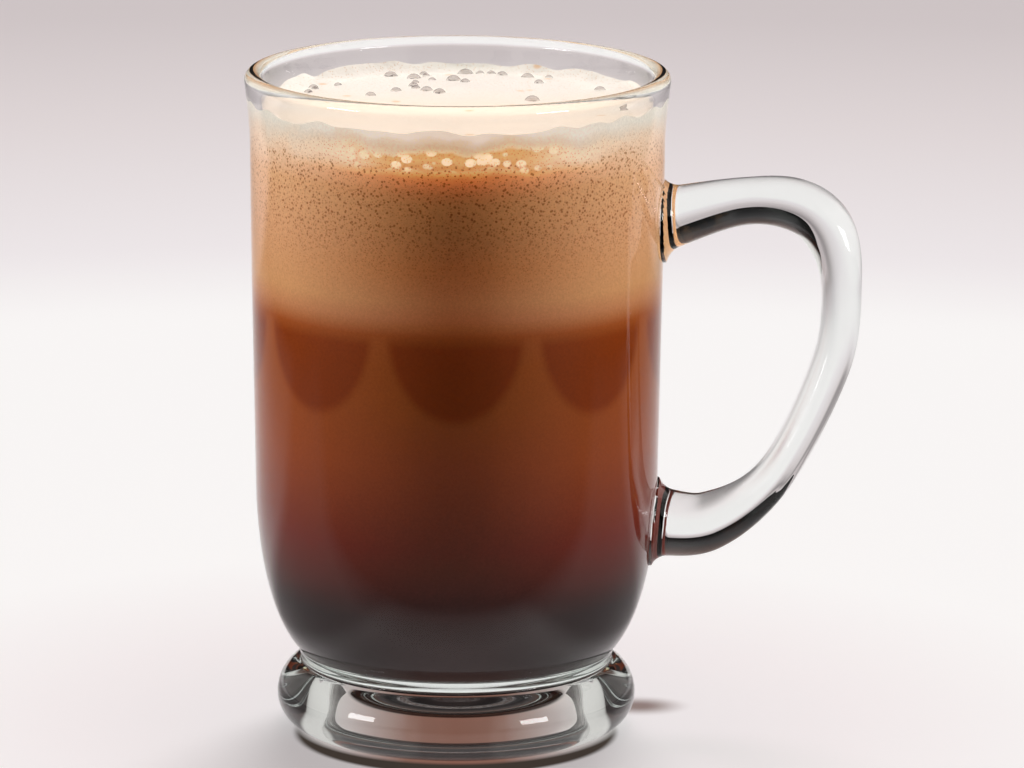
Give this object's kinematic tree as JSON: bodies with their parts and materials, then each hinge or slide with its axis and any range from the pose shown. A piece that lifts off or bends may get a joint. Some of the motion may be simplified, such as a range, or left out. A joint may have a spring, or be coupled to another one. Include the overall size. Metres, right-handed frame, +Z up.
{
  "type": "nitro cold brew coffee in a glass mug",
  "caption": "Footed clear glass mug with an ear handle, filled with dark coffee under thick tan foam and a pale bubbly froth.",
  "frame": {"origin": "middle of the flat underside of the foot, on the surface that the mug stands on", "axes": "+Z up along the mug's axis, +X towards the handle, +Y to the back"},
  "size_m": [0.1205, 0.083, 0.131],
  "materials": {
    "glass": "clear fire-polished glass, faintly green at its edges",
    "dark_coffee": "near-black coffee seen through glass",
    "brown_coffee": "red-brown cloudy coffee seen through glass",
    "tan_foam": "smooth fine-grained tan foam",
    "froth": "pale cream froth with large bubbles"
  },
  "bodies": {
    "root": {"glass_mug": "glass", "dark_coffee": "dark_coffee", "brown_coffee": "brown_coffee", "tan_foam": "tan_foam", "froth": "froth"}
  },
  "joints": []
}
